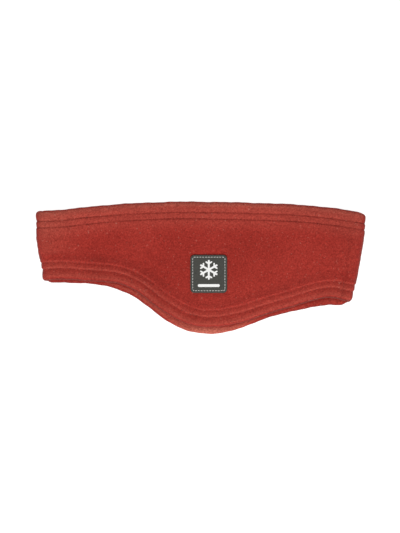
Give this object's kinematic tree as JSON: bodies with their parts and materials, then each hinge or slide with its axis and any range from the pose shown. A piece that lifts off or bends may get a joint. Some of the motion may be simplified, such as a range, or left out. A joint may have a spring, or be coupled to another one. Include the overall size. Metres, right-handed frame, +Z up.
{
  "type": "fleece headband",
  "caption": "Contoured fleece ear-warmer headband, folded flat, with coverstitched hems and a small sewn patch over one ear.",
  "frame": {"origin": "middle of the underside of the headband as it lies folded flat", "axes": "+X from the nape fold to the forehead fold, +Y towards the top edge, +Z up out of the surface it lies on"},
  "size_m": [0.2546, 0.102, 0.0167],
  "materials": {
    "fleece": "matte",
    "hem_thread": "matte",
    "patch_cloth": "matte",
    "patch_thread": "matte",
    "patch_mark": "matte",
    "tag_satin": "satin"
  },
  "bodies": {
    "root": {"bottom_hem_edge_thread": "hem_thread", "bottom_hem_inner_thread": "hem_thread", "bottom_hem_looper_thread": "hem_thread", "care_tag": "tag_satin", "ear_patch": "patch_cloth", "ear_patch_stitching": "patch_thread", "fleece_band": "fleece", "nape_seam_thread": "hem_thread", "patch_rule": "patch_mark", "patch_snow_crystal": "patch_mark", "top_hem_edge_thread": "hem_thread", "top_hem_inner_thread": "hem_thread", "top_hem_looper_thread": "hem_thread"}
  },
  "joints": []
}
